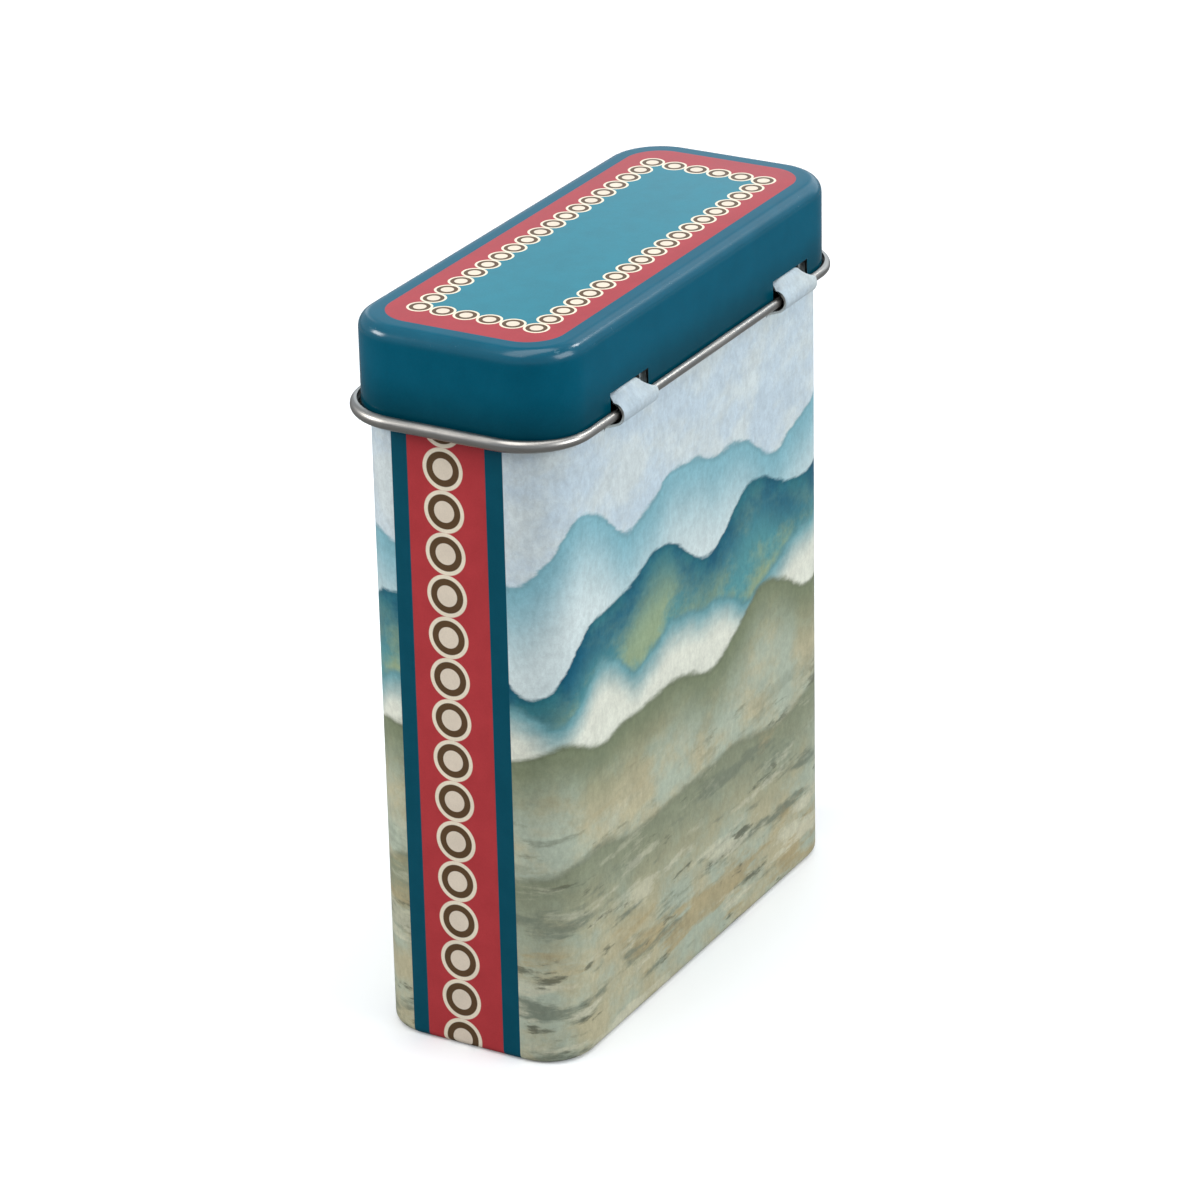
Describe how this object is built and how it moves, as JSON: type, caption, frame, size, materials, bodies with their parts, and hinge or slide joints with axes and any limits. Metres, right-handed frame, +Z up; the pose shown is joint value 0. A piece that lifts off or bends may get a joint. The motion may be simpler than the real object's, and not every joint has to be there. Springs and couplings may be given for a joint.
{
  "type": "hinged slip-lid tin",
  "caption": "Upright pocket tin with rounded corners and a slip-over lid that swings on tongues wrapped round its rolled rim.",
  "frame": {"origin": "centre of the footprint on the table, midway between the sleeve's walls", "axes": "+Z up, +X along the wide side, +Y towards the hinge"},
  "size_m": [0.0684, 0.0294, 0.0847],
  "materials": {
    "printed_sleeve": "satin print on tinplate",
    "printed_lid": "satin print on tinplate",
    "bare_tinplate": "bright tinplate"
  },
  "bodies": {
    "tin_body": {"body_sleeve": "printed_sleeve", "side_seam": "bare_tinplate", "base_plate": "bare_tinplate", "hinge_tongue_left": "printed_sleeve", "hinge_tongue_right": "printed_sleeve"},
    "lid": {"lid_shell": "printed_lid", "lid_rolled_rim": "bare_tinplate"}
  },
  "joints": [
    {"name": "lid_hinge", "type": "hinge", "parent": "tin_body", "child": "lid", "pos_m": [0, 0.01361, 0.0743], "axis": [-1, 0, 0], "range_deg": [0, 115]}
  ]
}
